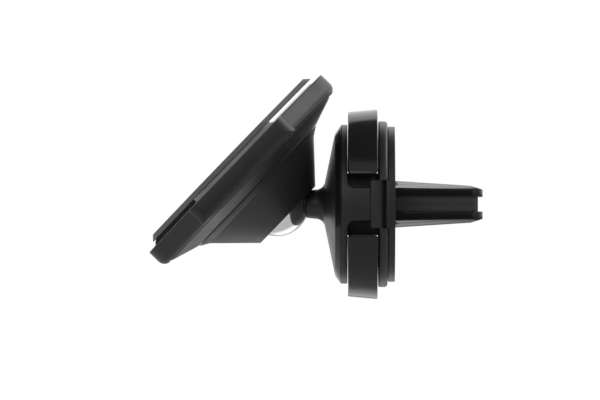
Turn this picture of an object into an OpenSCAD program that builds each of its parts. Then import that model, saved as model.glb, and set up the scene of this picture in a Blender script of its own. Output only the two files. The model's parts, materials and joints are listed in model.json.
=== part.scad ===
// Magnetic phone mount: an eight-sided tilting head on a ball joint, and a base that clips on a vent blade.
// Millimetres. The origin is on the base's axis at the back face of the back cover, where the jaws leave it.
// +X points from the base into the vent, +Z is up, and the head is on the -X side.

/* [Head] */
// Half the head's width across its eight flats
rim_r = 32.7; // [28:0.1:42]
// Radius of the round corners between the flats
rim_corner = 8.5; // [7.5:0.1:12]
// Depth of the rim's straight side wall
rim_wall_h = 3.45; // [2.5:0.05:6]
// Rounding between the side wall and the sloping back of the rim
rim_round = 2.3; // [1:0.1:3]
// Distance from the ball's centre forward to the front plane of the rim
rim_front = 15.5; // [15.5:0.1:20]
// Height of the rubber face above the rim plane
pad_proud = 2.55; // [2:0.05:4]
// Rim left around the polished ring
rim_lip = 1.4; // [1:0.1:3]
// Width of the polished ring's visible slope
ring_slope_w = 1.4; // [0.8:0.1:2.5]
// Chamfer around the rubber face, as deep as it is wide
pad_chamfer = 1.35; // [0.8:0.05:1.5]
// Length of each side lug along the face
lug_len = 35.0; // [31:0.2:38]
// Length of the gap that a lug leaves in the polished ring
ring_gap_len = 28.4; // [16:0.2:29]
// How far a side lug's flat face stands out past the rim
lug_proud = 0.3; // [0.2:0.1:2]
// Width of the ring of magnets
magnet_w = 4.0; // [3:0.1:6]
// Thickness of the magnets
magnet_t = 2.1; // [1.5:0.1:2.3]
// Number of magnets in the ring
magnet_count = 16; // [8:2:24]

/* [Housing] */
// Radius of the seam between rim tray and housing
seam_r = 22.5; // [21:0.1:26]
// How far the flat face around the ball's mouth reaches past the ball
mouth_land_w = 1.95; // [1.7:0.05:3]
// Distance of that face behind the ball's centre
mouth_depth = 4.0; // [3.5:0.1:5]
// Wall of the housing
housing_wall = 2.0; // [1.4:0.1:3]

/* [Ball joint] */
// Radius of the ball
ball_r = 8.5; // [7:0.05:9]
// Distance of the ball's centre in front of the back cover's face
ball_reach = 31.2; // [30:0.1:40]
// Tilt of the head from the base's axis at rest, which is its upper stop
rest_tilt = 44; // [30:1:44]
// Radius of the neck where it meets the ball, as a share of the ball's radius
neck_share = 0.4235; // [0.38:0.005:0.435]
// Radius of the stud's shank
shank_r = 2.5; // [2:0.1:2.5]
// Running clearance between the ball and its seats
ball_clear = 0.05; // [0.02:0.01:0.1]

/* [Base] */
// Radius of the body shell's flange
body_r = 21.1; // [20.8:0.1:24]
// How far the rear frame stands out past the body shell
frame_proud = 0.9; // [0.7:0.1:2]
// How far the back cover stays inside the body shell
cover_inset = 0.5; // [0.2:0.1:1]
// How far the buttons stand out past the body shell at their front edge
button_front_proud = 3.4; // [3.2:0.1:6]
// How far the buttons flare out towards their rear edge
button_flare = 0.7; // [0:0.1:2]
// Height of the buttons' ends above and below the axis
button_end_z = 8.0; // [7.6:0.1:9]
// Travel of each button
button_travel = 3.0; // [1:0.1:3.2]
// Half height of the side bridges
bridge_z = 4.3; // [3.5:0.1:4.6]
// Half height of the side collars
collar_z = 6.3; // [5.5:0.1:6.6]

/* [Jaws] */
// Length of the jaws behind the back cover
jaw_len = 23.3; // [16:0.1:40]
// Width of the jaws
jaw_w = 17.0; // [12:0.2:18]
// Half height of the closed jaws at the back cover
jaw_root_z = 6.2; // [5.6:0.1:6.4]
// Half height of the closed jaws' crown near the tip
jaw_tip_z = 4.9; // [4.2:0.1:5.5]
// Thickness of each rubber jaw pad
jaw_pad_t = 1.85; // [1.2:0.05:2.5]

/* [Hidden] */
$fn = 96;

eps = 0.01;                 // overreach of a cutting tool
fit = 0.05;                 // clearance between pieces that are assembled and stay still
slide_gap = 0.3;            // clearance beside a piece that slides
far = 100;                  // longer than any piece

// Head, measured forward from the ball's centre
outline_steps = 5;          // facets in each corner of the head's outline
corner_core = rim_r - rim_corner;
corner_reach = corner_core / cos(22.5);
lug_y = rim_r + lug_proud;
lug_front = rim_front - 0.1;
lug_end_round = 3.0;
lug_root_y = rim_r - 9;
lug_back = rim_front - rim_wall_h - 2.15;
rim_edge_r = rim_r - 2.8;
rim_edge_z = rim_front - rim_wall_h - 2.5;
rim_sweep = 78;             // how far the rounding of the rim turns in under it
seam_z = rim_front - 8.2;
housing_edge_r = seam_r - fit;
fillet_r = seam_r - 2.6;
fillet_z = rim_front - 9.7;
ring_out_r = rim_r - rim_lip;
ring_in_r = ring_out_r - 3.7;
pad_r = ring_out_r - ring_slope_w;
pad_front = rim_front + pad_proud;
pad_seat = pad_front - pad_chamfer;
floor_top = rim_front - 4.0;
floor_bottom = floor_top - 1.1;
shield_t = 0.7;
carrier_bottom = floor_top + shield_t + fit;
carrier_top = pad_seat - 1.65;
ring_bottom = floor_top + 1.7;
magnet_r = ring_in_r - 0.5 - magnet_w / 2;
magnet_gap_angle = 1.6;
spigot_out_r = seam_r - 2.3;
spigot_in_r = spigot_out_r - 2.3;
housing_fillet = 0.85;
screw_bite = 0.02;          // clearance of a screw's core in its own hole
hub_bottom = 1.0;
mouth_land_r = ball_r + mouth_land_w;
hollow_z = 2.8;
function cone_r(z) = mouth_land_r + (fillet_r - mouth_land_r) * (z + mouth_depth) / (fillet_z + mouth_depth);

// Tray screws
tray_screw_r = 0.9;
tray_screw_head_r = 1.7;
tray_screw_head_h = 0.75;
tray_screw_sunk = 0.8;
tray_screw_len = 5.5;
tray_screw_at = spigot_in_r - 1.3;
tray_screw_count = 4;
boss_r = 2.2;
boss_bottom = 3.2;

// Ball socket
cup_r = ball_r + 2.1;
cup_top = ball_r - 1.1;
cup_bottom = 1.8;
cup_hole_r = 3.0;
hub_in_r = cup_r + 0.1;
hub_out_r = hub_in_r + 3.3;
hub_top = cup_top + 1.0;
seat_angle = 73;
mouth_r = mouth_land_r - 0.55;
washer_t = 0.4;
washer_in_r = 5.2;
washer_out_r = cup_r - 0.5;
plate_t = 1.0;
plate_r = hub_out_r - fit;
plate_hole_r = 4.0;
plate_screw_r = 0.8;
plate_screw_head_r = 1.4;
plate_screw_head_h = 0.7;
plate_screw_len = 4.5;
plate_screw_at = (hub_in_r + hub_out_r) / 2;
plate_screw_count = 3;
plate_screw_turn = 60;

// Base, measured back along +X from the back cover's face
ball_x = -ball_reach;
neck_r = ball_r * neck_share;
neck_end_x = ball_x + sqrt(pow(ball_r, 2) - pow(neck_r, 2));
flange_x0 = -14.3;
flange_x1 = -12.6;
ring_x0 = -15.85;
ring_land_r = body_r - 2.2;
ring_in_base_r = ring_land_r - 0.45;
cone_base_r = ring_in_base_r - fit;
cone_plate_r = cone_base_r - 1.6;
nut_pocket_r = 5.2;
nut_pocket_x = -16.1;
nut_floor_x = nut_pocket_x - 1.1;
nut_cup_r = nut_pocket_r + 1.4;
stud_washer_r = 4.9;
stud_washer_t = 0.8;
nut_flats = 8.0;
shank_end_x = flange_x1 - 0.1;
neck_flare = 0.3;
neck_len = 10.3;
cone_fillet = 2.42;
cone_sweep = 102;           // angle at which the trumpet's round throat runs out into its straight flank
throat_lap = 0.4;           // how far the trumpet's neck laps the ball
recess_in_r = nut_cup_r + 2.2;
recess_in_h = 1.1;
recess_out_h = 0.6;

// Body
frame_r = body_r + frame_proud;
cover_r = body_r - cover_inset;
bridge_in_y = 12.5;
bridge_x1 = -6.5;
bridge_end_x = -4.4;
bridge_step_y = body_r - 1.2;
window_fillet = 1.8;
root_overlap = 0.4;
screen_out_r = body_r - 2.7;
screen_in_r = screen_out_r - 0.7;
screen_z = button_end_z + 0.2;
frame_x0 = -4.33;
frame_x1 = -1.94;
frame_round = 0.8;
collar_x1 = -3.0;
collar_y = body_r + 0.2;
collar_in_y = bridge_step_y + fit;
collar_chamfer = 1.6;
cover_x0 = -1.8;
bar_x0 = -2.3;
bar_y = collar_y - 0.1;
window_y = jaw_w / 2 + 0.4;
window_z = jaw_root_z + button_travel + 0.6;
window_round = 1.0;
land_r = cover_r - 1.0;
body_screw_y = 17.2;
body_screw_r = 1.1;
body_screw_head_r = 2.1;
body_screw_head_h = 1.1;
body_screw_sunk = 0.15;
body_screw_len = 9.0;

// Buttons and sliders
button_x0 = flange_x1 + 0.2;
button_x1 = -4.6;
button_front_r = body_r + button_front_proud;
button_rear_r = button_front_r + button_flare;
button_wall = 1.0;
button_skin_r = button_front_r - button_wall;
button_side_r = body_r - 0.9;
button_corner = 1.0;
button_block_y = 12.0;
rear_wall_z = collar_z + button_travel + slide_gap;
slider_x0 = button_x0 + 1.2;
slider_x1 = button_x1 - 1.0;
plate_z0 = 13.5;
plate_z1 = 15.5;
ear_y = 16.5;
leg_out_y = 12.2;
leg_in_y = 9.9;
foot_y = 8.0;
foot_z0 = jaw_pad_t + 0.05;
foot_z1 = 7.0;
tang_x0 = -9.5;
tang_y = 5.0;
tang_z0 = 3.2;
tang_z1 = 5.4;

// Return springs
spring_y = 14.0;
spring_x = (slider_x0 + slider_x1) / 2;
spring_r = 1.3;
wire_r = 0.25;
spring_turns = 6;
spring_z0 = bridge_z + wire_r + fit;
spring_z1 = plate_z0 - wire_r - fit;
spring_steps = 10;
wire_sides = 6;

// Jaws
jaw_in_z = jaw_pad_t + 0.05;
jaw_side_root_z = 4.4;
jaw_side_tip_z = 4.0;
jaw_crown_inset = 5.5;
jaw_corner = 3.2;
pad_end_x = jaw_len - 1.3;
pad_gap = 0.06;
pad_inset = 0.2;
tip_drop = 1.0;

// Points along an arc
function arc(cx, cy, r, a0, a1, n) =
    [for (i = [0:n]) let (a = a0 + (a1 - a0) * i / n) [cx + r * cos(a), cy + r * sin(a)]];

// The head's outline: eight flats, and corners whose centres stay the same at every size
function head_outline(r) = [for (k = [0:7])
    each arc(corner_reach * cos(45 * k + 22.5), corner_reach * sin(45 * k + 22.5), r - corner_core,
        45 * k, 45 * (k + 1), outline_steps)];

// Solid through head outlines of the sizes and heights in levels, from the lowest up
module head_loft(levels) {
    n = 8 * (outline_steps + 1);
    last = len(levels) - 1;
    points = [for (level = levels) for (p = head_outline(level[0])) [p[0], p[1], level[1]]];
    sides = [for (i = [0:last - 1], j = [0:n - 1]) let (k = (j + 1) % n)
        [i * n + j, (i + 1) * n + j, (i + 1) * n + k, i * n + k]];
    caps = [[for (j = [0:n - 1]) j], [for (j = [n - 1:-1:0]) last * n + j]];
    polyhedron(points, concat(sides, caps));
}

// Straight cutting tool with the head's outline, upwards from low
module head_prism(r, low) {
    translate([0, 0, low]) linear_extrude(far) polygon(head_outline(r));
}

// Places children in the head's own frame: origin at the ball's centre, +Z forward out of the face
module head_pose() {
    translate([ball_x, 0, 0]) rotate([0, rest_tilt - 90, 0]) children();
}

// Turns a profile of [radius, x] points about the base's axis
module base_turn(points) {
    rotate([0, 90, 0]) rotate_extrude() polygon(points);
}

// Extrudes a shape drawn in Y and Z from x0 to x1
module along_x(x0, x1) {
    translate([x0, 0, 0]) rotate([90, 0, 90]) linear_extrude(x1 - x0) children();
}

// Extrudes a shape drawn in X and Z across the whole part
module across_y(width) {
    rotate([90, 0, 0]) linear_extrude(width, center = true) children();
}

// Cylinder along the base's axis
module x_cylinder(r, x0, x1) {
    translate([x0, 0, 0]) rotate([0, 90, 0]) cylinder(r = r, h = x1 - x0);
}

// Box from one corner to the other
module span(low, high) {
    translate(low) cube(high - low);
}

// Rectangle with true round corners, centred on the origin
module round_rect(w, h, r) {
    difference() {
        square([w, h], center = true);
        for (sx = [-1, 1], sy = [-1, 1])
            translate([sx * (w / 2 - r), sy * (h / 2 - r)]) difference() {
                translate([sx > 0 ? 0 : -r - 1, sy > 0 ? 0 : -r - 1]) square(r + 1);
                circle(r = r);
            }
    }
}

// A turned copy: the lower half of the clip is the upper half turned round the base's axis
module turned() {
    rotate([180, 0, 0]) children();
}

/* ---- Head ---- */

module face_pad() {
    color("dimgray") head_pose() {
        translate([0, 0, carrier_top + fit]) cylinder(r = ring_in_r - fit, h = pad_seat - carrier_top);
        head_loft([[pad_r, pad_seat - fit], [pad_r, pad_seat + fit], [pad_r - pad_chamfer, pad_front]]);
    }
}

module accent_ring() {
    color("gainsboro") head_pose() difference() {
        head_loft([[ring_out_r - fit, ring_bottom], [ring_out_r - fit, rim_front],
            [pad_r + fit, pad_seat - 2 * fit]]);
        cylinder(r = ring_in_r, h = far);
        difference() {
            ring_gap(2 * fit);
            head_prism(pad_r + fit, -eps);
        }
    }
}

// Slab through both lugs, as wide as the gaps in the polished ring
module ring_gap(margin) {
    half = ring_gap_len / 2 + margin;
    span([-half, -far, 0], [half, far, far]);
}

// Side view of one lug, drawn as [y, height], from inside the rim to its flat face
module lug_section() {
    polygon(concat(
        [[lug_root_y, floor_bottom + 0.6], [rim_edge_r - 2, lug_back + 0.1]],
        arc(lug_y - rim_round, lug_back + rim_round, rim_round, -60, 0, outline_steps),
        [[lug_y, lug_front], [pad_r, pad_seat - 2 * fit], [lug_root_y, pad_seat - 2 * fit]]
    ));
}

// The side lugs: long flat walls with round ends, and a slope up to the face between the ring's gaps
module lugs() {
    intersection() {
        for (side = [-1, 1]) scale([1, side, 1])
            translate([-lug_len, 0, 0]) rotate([90, 0, 90]) linear_extrude(2 * lug_len) lug_section();
        union() {
            linear_extrude(lug_front) round_rect(lug_len, 2 * lug_y, lug_end_round);
            ring_gap(0);
        }
    }
}

module rim_tray() {
    cone_top_r = rim_edge_r - 0.3;
    color("black") head_pose() difference() {
        union() {
            rotate_extrude() polygon([
                [0, seam_z], [seam_r, seam_z], [cone_top_r, rim_edge_z + fit], [cone_top_r, floor_top + fit],
                [0, floor_top + fit]
            ]);
            head_loft(concat(
                [[rim_edge_r, rim_edge_z]],
                arc(rim_r - rim_round, rim_front - rim_wall_h, rim_round, -rim_sweep, 0, outline_steps),
                [[rim_r, rim_front]]
            ));
            lugs();
        }
        // Room for the housing's spigot behind the floor
        cylinder(r = spigot_out_r + fit, h = floor_bottom);
        // Well for the carrier and shield, room for the pad's edge, and the ring's seat
        translate([0, 0, floor_top]) cylinder(r = ring_in_r, h = far);
        head_prism(pad_r + fit, ring_bottom - fit);
        difference() {
            head_prism(ring_out_r, ring_bottom - fit);
            ring_gap(0);
        }
        tray_screw_places() {
            translate([0, 0, floor_bottom - eps]) cylinder(r = tray_screw_r + fit, h = far);
            translate([0, 0, floor_top - tray_screw_sunk]) cylinder(r = tray_screw_head_r + fit, h = far);
        }
    }
}

module tray_screw_places() {
    for (i = [0:tray_screw_count - 1]) rotate([0, 0, i * 360 / tray_screw_count + 45])
        translate([tray_screw_at, 0, 0]) children();
}

module tray_screws() {
    color("silver") head_pose() tray_screw_places() {
        translate([0, 0, floor_top - tray_screw_sunk]) cylinder(r = tray_screw_head_r, h = tray_screw_head_h);
        translate([0, 0, floor_top - tray_screw_sunk - tray_screw_len])
            cylinder(r = tray_screw_r, h = tray_screw_len + eps);
    }
}

module magnet_carrier() {
    color("darkslategray") head_pose() difference() {
        translate([0, 0, carrier_bottom]) cylinder(r = ring_in_r - fit, h = carrier_top - carrier_bottom);
        translate([0, 0, carrier_top - magnet_t - fit]) difference() {
            cylinder(r = magnet_r + magnet_w / 2 + fit, h = far);
            translate([0, 0, -eps]) cylinder(r = magnet_r - magnet_w / 2 - fit, h = 2 * far);
        }
    }
}

// Arc magnets, each a sector of one ring
module ring_magnets() {
    step = 360 / magnet_count;
    color("silver") head_pose() for (i = [0:magnet_count - 1])
        rotate([0, 0, i * step]) translate([0, 0, carrier_top - magnet_t])
            rotate_extrude(angle = step - magnet_gap_angle)
                translate([magnet_r - magnet_w / 2, 0]) square([magnet_w, magnet_t]);
}

module shield_plate() {
    color("lightslategray") head_pose() translate([0, 0, floor_top]) cylinder(r = ring_in_r - fit, h = shield_t);
}

// Outside of the housing: a cone that ends in the flat face around the ball's mouth
module housing_outline() {
    rotate_extrude() polygon(concat(
        [[0, -mouth_depth], [mouth_land_r, -mouth_depth]],
        arc(fillet_r + housing_fillet, fillet_z, housing_fillet, 180, 110, 4),
        [[housing_edge_r, seam_z - 2 * fit], [spigot_out_r, seam_z - 2 * fit],
            [spigot_out_r, floor_bottom - fit], [0, floor_bottom - fit]]
    ));
}

module rear_housing() {
    mouth_cone = mouth_depth + hub_bottom;
    seat_r = ball_r + ball_clear;
    color("black") head_pose() difference() {
        union() {
            difference() {
                housing_outline();
                // Space inside the outer cone, around the hub
                rotate_extrude() polygon([
                    [0, floor_bottom + 1], [0, hollow_z], [cone_r(hollow_z) - housing_wall * sqrt(2), hollow_z],
                    [spigot_in_r, fillet_z], [spigot_in_r, floor_bottom + 1]
                ]);
            }
            intersection() {
                tray_screw_places() translate([0, 0, boss_bottom])
                    cylinder(r = boss_r, h = floor_bottom - fit - boss_bottom);
                housing_outline();
            }
            translate([0, 0, hub_bottom]) cylinder(r = hub_out_r, h = hub_top - hub_bottom);
        }
        sphere(r = seat_r);
        translate([0, 0, cup_bottom - 0.8]) cylinder(r = hub_in_r, h = far);
        // Mouth that lets the neck swing
        translate([0, 0, -mouth_depth - eps]) cylinder(r1 = mouth_r + eps, r2 = mouth_r - mouth_cone + eps,
            h = mouth_cone);
        tray_screw_places() translate([0, 0, floor_top - 1 - tray_screw_len])
            cylinder(r = tray_screw_r + screw_bite, h = far);
        plate_screw_places() translate([0, 0, hub_top - plate_screw_len])
            cylinder(r = plate_screw_r + screw_bite, h = plate_screw_len + eps);
    }
}

module plate_screw_places() {
    for (i = [0:plate_screw_count - 1]) rotate([0, 0, i * 360 / plate_screw_count + plate_screw_turn])
        translate([plate_screw_at, 0, 0]) children();
}

module spring_plate() {
    color("silver") head_pose() difference() {
        translate([0, 0, hub_top]) cylinder(r = plate_r, h = plate_t);
        cylinder(r = plate_hole_r, h = far);
        plate_screw_places() cylinder(r = plate_screw_r + fit, h = far);
    }
}

module plate_screws() {
    color("dimgray") head_pose() plate_screw_places() {
        translate([0, 0, hub_top + plate_t]) cylinder(r = plate_screw_head_r, h = plate_screw_head_h);
        translate([0, 0, hub_top + 0.2 - plate_screw_len])
            cylinder(r = plate_screw_r, h = plate_screw_len + plate_t - 0.2 + eps);
    }
}

// Conical washer that presses the cup on the ball
module spring_washer() {
    rise = hub_top - cup_top - washer_t;
    color("gray") head_pose() rotate_extrude() polygon([
        [washer_in_r, cup_top + rise], [washer_in_r, cup_top + rise + washer_t],
        [washer_out_r, cup_top + washer_t], [washer_out_r, cup_top]
    ]);
}

module pressure_cup() {
    color("ivory") head_pose() difference() {
        translate([0, 0, cup_bottom]) cylinder(r = cup_r, h = cup_top - cup_bottom);
        sphere(r = ball_r + ball_clear);
        cylinder(r = cup_hole_r, h = far);
    }
}

/* ---- Ball joint ---- */

module ball_stud() {
    color("gainsboro") {
        translate([ball_x, 0, 0]) rotate([0, 90, 0]) sphere(r = ball_r);
        x_cylinder(shank_r, ball_x, shank_end_x);
    }
}

module stud_washer() {
    color("silver") difference() {
        x_cylinder(stud_washer_r, nut_pocket_x + fit, nut_pocket_x + fit + stud_washer_t);
        x_cylinder(shank_r + fit, -far, 0);
    }
}

module stud_nut() {
    color("darkgray") difference() {
        translate([nut_pocket_x + stud_washer_t + fit, 0, 0]) rotate([0, 90, 0])
            cylinder(d = nut_flats / cos(30), h = flange_x1 - nut_pocket_x - stud_washer_t - 3 * fit, $fn = 6);
        x_cylinder(shank_r + screw_bite, -far, 0);
    }
}

/* ---- Base ---- */

// Trumpet that widens from the neck to the front ring
module front_cone() {
    color("black") difference() {
        base_turn(concat(
            [[0, neck_end_x - throat_lap], [neck_r, neck_end_x - throat_lap]],
            arc(neck_r + neck_flare + cone_fillet, ball_x + neck_len, cone_fillet, 180, cone_sweep, 8),
            [[cone_base_r, ring_x0 - fit], [cone_base_r, flange_x0 - fit], [0, flange_x0 - fit]]
        ));
        translate([ball_x, 0, 0]) rotate([0, 90, 0]) sphere(r = ball_r + ball_clear);
        x_cylinder(shank_r + fit, -far, 0);
        x_cylinder(nut_cup_r + fit, nut_floor_x - fit, 0);
        base_turn([[recess_in_r, flange_x0], [recess_in_r, flange_x0 - recess_in_h],
            [cone_plate_r, flange_x0 - recess_out_h], [cone_plate_r, flange_x0]]);
    }
}

module front_ring() {
    color("black") base_turn([
        [ring_in_base_r, ring_x0], [ring_land_r, ring_x0], [body_r - 0.25, flange_x0 - 0.15],
        [body_r - 0.25, flange_x0 - fit], [ring_in_base_r, flange_x0 - fit]
    ]);
}

// Outline of one side bridge seen from the side, with the round corners of the windows beside it
module bridge_outline() {
    root_z = bridge_z + window_fillet;
    polygon(concat(
        [[flange_x1 - root_overlap, -root_z]],
        arc(flange_x1 + window_fillet, -root_z, window_fillet, 180, 90, 6),
        [[bridge_x1, -bridge_z], [bridge_x1, bridge_z]],
        arc(flange_x1 + window_fillet, root_z, window_fillet, 270, 180, 6),
        [[flange_x1 - root_overlap, root_z]]
    ));
}

module body_shell() {
    color("dimgray") difference() {
        union() {
            base_turn([[0, flange_x0], [body_r - 0.2, flange_x0], [body_r, flange_x0 + 0.2],
                [body_r, flange_x1], [0, flange_x1]]);
            x_cylinder(nut_cup_r, nut_floor_x, flange_x0 + eps);
            for (side = [-1, 1]) {
                intersection() {
                    across_y(far) bridge_outline();
                    x_cylinder(body_r, -far, 0);
                    span([-far, side > 0 ? bridge_in_y : -far, -far], [0, side > 0 ? far : -bridge_in_y, far]);
                }
                // Thin curved wall that closes the view through the windows
                intersection() {
                    difference() {
                        x_cylinder(screen_out_r, flange_x1 - root_overlap, bridge_end_x);
                        x_cylinder(screen_in_r, -far, 0);
                    }
                    span([-far, side > 0 ? 0 : -far, -screen_z], [0, side > 0 ? far : 0, screen_z]);
                }
                span([bridge_x1 - root_overlap, side > 0 ? bridge_in_y : -bridge_step_y, -bridge_z],
                    [bridge_end_x, side > 0 ? bridge_step_y : -bridge_in_y, bridge_z]);
            }
        }
        x_cylinder(nut_pocket_r, nut_pocket_x, 0);
        x_cylinder(shank_r + fit, -far, 0);
        body_screw_places() x_cylinder(body_screw_r + screw_bite, -body_screw_len - 2, 0);
    }
}

module body_screw_places() {
    for (side = [-1, 1]) translate([0, side * body_screw_y, 0]) children();
}

// Opening that the jaws pass through
module jaw_window() {
    along_x(-far, far) round_rect(2 * window_y, 2 * window_z, window_round);
}

module rear_frame() {
    color("dimgray") difference() {
        base_turn(concat(
            [[0, frame_x0], [frame_r - 0.2, frame_x0], [frame_r, frame_x0 + 0.2]],
            arc(frame_r - frame_round, frame_x1 - frame_round, frame_round, 0, 90, 4),
            [[land_r, frame_x1], [land_r, cover_x0 - fit], [0, cover_x0 - fit]]
        ));
        jaw_window();
        body_screw_places() x_cylinder(body_screw_r + fit, -far, 0);
        for (side = [-1, 1]) scale([1, side, 1])
            span([-far, collar_in_y - 1, -collar_z], [far, far, collar_z]);
    }
    color("dimgray") for (side = [-1, 1]) scale([1, side, 1]) collar();
}

// One side collar, with its sloping front face, reaching over the end of the bridge
module collar() {
    difference() {
        span([bridge_x1 + fit, collar_in_y - 1 - eps, -collar_z], [collar_x1, collar_y, collar_z]);
        span([-far, 0, -bridge_z - fit], [frame_x0, collar_in_y, bridge_z + fit]);
        for (flip = [-1, 1]) scale([1, 1, flip])
            span([-far, 0, bridge_z], [frame_x0, body_r - 0.9, far]);
        translate([bridge_x1 + fit, collar_y, 0]) rotate([0, 0, -atan((collar_y - body_r + 0.5) / collar_chamfer)])
            mirror([1, 0, 0]) span([-far, 0, -far], [far, far, far]);
    }
}

module back_cover() {
    color("black") difference() {
        union() {
            x_cylinder(cover_r, cover_x0, 0);
            for (side = [-1, 1]) scale([1, side, 1]) {
                span([cover_x0, 0, -collar_z], [0, bar_y, collar_z]);
                span([bar_x0, collar_in_y + slide_gap, -collar_z], [cover_x0 + eps, bar_y, collar_z]);
            }
        }
        jaw_window();
        body_screw_places() {
            x_cylinder(body_screw_r + fit, -far, far);
            x_cylinder(body_screw_head_r + fit, -body_screw_head_h - body_screw_sunk, far);
        }
    }
}

module body_screws() {
    color("silver") body_screw_places() {
        x_cylinder(body_screw_head_r, -body_screw_head_h - body_screw_sunk + eps, -body_screw_sunk);
        x_cylinder(body_screw_r, -body_screw_head_h - body_screw_sunk - body_screw_len,
            -body_screw_head_h - body_screw_sunk + 2 * eps);
    }
}

/* ---- Clip: the upper pieces, and the lower ones turned round the axis ---- */

module button_shape() {
    x_mid = (button_x0 + button_x1) / 2;
    intersection() {
        difference() {
            base_turn([[0, button_x0], [button_front_r, button_x0], [button_rear_r, button_x1], [0, button_x1]]);
            x_cylinder(button_skin_r, button_x0 + button_wall, button_x1 - button_wall);
            x_cylinder(button_side_r, -far, 0);
            intersection() {
                x_cylinder(button_skin_r, button_x1 - button_wall - eps, 0);
                span([-far, -far, -far], [far, far, rear_wall_z]);
            }
        }
        across_y(far) translate([x_mid, button_end_z + far / 2]) round_rect(button_x1 - button_x0, far,
            button_corner);
    }
    intersection() {
        span([slider_x0, -button_block_y, plate_z1], [slider_x1, button_block_y, button_front_r]);
        x_cylinder(button_skin_r + eps, -far, 0);
    }
}

module upper_button() {
    color("black") button_shape();
}

module lower_button() {
    color("black") turned() button_shape();
}

// Frame that joins a button to the jaw on the other side of the axis
module slider_shape() {
    difference() {
        union() {
            span([slider_x0, -ear_y, plate_z0], [slider_x1, ear_y, plate_z1 - fit]);
            span([slider_x0, -leg_out_y, -foot_z1], [slider_x1, -leg_in_y, plate_z0 + eps]);
            span([slider_x0, -leg_out_y, -foot_z1], [slider_x1, foot_y, -foot_z0]);
        }
        span([tang_x0 - fit, -tang_y - fit, -tang_z1 - fit], [0, tang_y + fit, -tang_z0 + fit]);
    }
}

module upper_slider() {
    color("slategray") slider_shape();
}

module lower_slider() {
    color("slategray") turned() slider_shape();
}

// One coil spring along Z, swept as a closed tube
module coil() {
    rings = spring_turns * spring_steps;
    rise = (spring_z1 - spring_z0) / rings;
    points = [for (i = [0:rings]) let (a = 360 * i / spring_steps)
        for (j = [0:wire_sides - 1]) let (b = 360 * j / wire_sides)
            [(spring_r + wire_r * cos(b)) * cos(a), (spring_r + wire_r * cos(b)) * sin(a),
                spring_z0 + i * rise + wire_r * sin(b)]];
    sides = [for (i = [0:rings - 1], j = [0:wire_sides - 1]) let (k = (j + 1) % wire_sides)
        [i * wire_sides + j, (i + 1) * wire_sides + j, (i + 1) * wire_sides + k, i * wire_sides + k]];
    caps = [[for (j = [0:wire_sides - 1]) j], [for (j = [wire_sides - 1:-1:0]) rings * wire_sides + j]];
    polyhedron(points, concat(sides, caps), convexity = 4);
}

module spring_pair() {
    for (side = [-1, 1]) translate([spring_x, side * spring_y, 0]) coil();
}

module upper_springs() {
    color("silver") spring_pair();
}

module lower_springs() {
    color("silver") turned() spring_pair();
}

// Side outline of the upper jaw's crown, and of its lower side walls
module jaw_outline(root_z, tip_z) {
    polygon([[slider_x1 + fit, jaw_in_z], [slider_x1 + fit, root_z], [0, root_z], [jaw_len - jaw_corner, tip_z],
        [jaw_len, tip_z - tip_drop], [jaw_len, jaw_in_z]]);
}

// Plan of a jaw, with a round tip
module jaw_plan(inset) {
    w = jaw_w - 2 * inset;
    linear_extrude(far, center = true) difference() {
        translate([-far / 2, -w / 2]) square([far / 2 + jaw_len - inset / 2, w]);
        for (side = [-1, 1]) translate([jaw_len - inset / 2 - jaw_corner, side * (w / 2 - jaw_corner)])
            difference() {
                translate([0, side > 0 ? 0 : -jaw_corner - 1]) square(jaw_corner + 1);
                circle(r = jaw_corner);
            }
    }
}

module upper_jaw_shape() {
    intersection() {
        across_y(far) jaw_outline(jaw_side_root_z, jaw_side_tip_z);
        jaw_plan(0);
    }
    // The crown, between slopes that rise from the side walls
    intersection() {
        across_y(far) jaw_outline(jaw_root_z, jaw_tip_z);
        jaw_plan(0);
        rotate([90, 0, 90]) linear_extrude(far, center = true) polygon([
            [-jaw_w / 2, jaw_in_z], [jaw_w / 2, jaw_in_z], [jaw_w / 2, jaw_side_tip_z],
            [jaw_w / 2 - jaw_crown_inset, jaw_root_z], [-jaw_w / 2 + jaw_crown_inset, jaw_root_z],
            [-jaw_w / 2, jaw_side_tip_z]
        ]);
    }
    span([tang_x0, -tang_y, tang_z0], [slider_x1 + 2 * fit, tang_y, tang_z1]);
}

module upper_jaw() {
    color("black") upper_jaw_shape();
}

module lower_jaw() {
    color("black") turned() upper_jaw_shape();
}

module jaw_pad_shape() {
    intersection() {
        span([pad_inset, -far, pad_gap], [pad_end_x, far, jaw_in_z]);
        jaw_plan(pad_inset);
    }
}

module upper_jaw_pad() {
    color("dimgray") jaw_pad_shape();
}

module lower_jaw_pad() {
    color("dimgray") turned() jaw_pad_shape();
}

face_pad();
accent_ring();
rim_tray();
magnet_carrier();
ring_magnets();
shield_plate();
tray_screws();
rear_housing();
spring_plate();
plate_screws();
spring_washer();
pressure_cup();
ball_stud();
stud_washer();
stud_nut();
front_cone();
front_ring();
body_shell();
rear_frame();
back_cover();
body_screws();
upper_button();
lower_button();
upper_slider();
lower_slider();
upper_springs();
lower_springs();
upper_jaw();
lower_jaw();
upper_jaw_pad();
lower_jaw_pad();
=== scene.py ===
# %% [markdown]
# # A magnetic phone mount with a vent clip
#
# This lesson dresses a finished CAD model of a car phone mount. The CAD model says where every piece is
# and how it moves. Blender's job is the look: edges that catch the light, mouldings with a fine grain,
# polished metal that mirrors the room, and soft rubber.
#
# The first cell loads the frame. Every measure below is in metres in the same frame as the CAD model: +X
# runs from the base into the vent, +Z is up, and the phone side of the head looks towards -X and up.

# %% Load the frame
import json
import math

import bmesh
import bpy
from mathutils import Matrix, Vector


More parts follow.
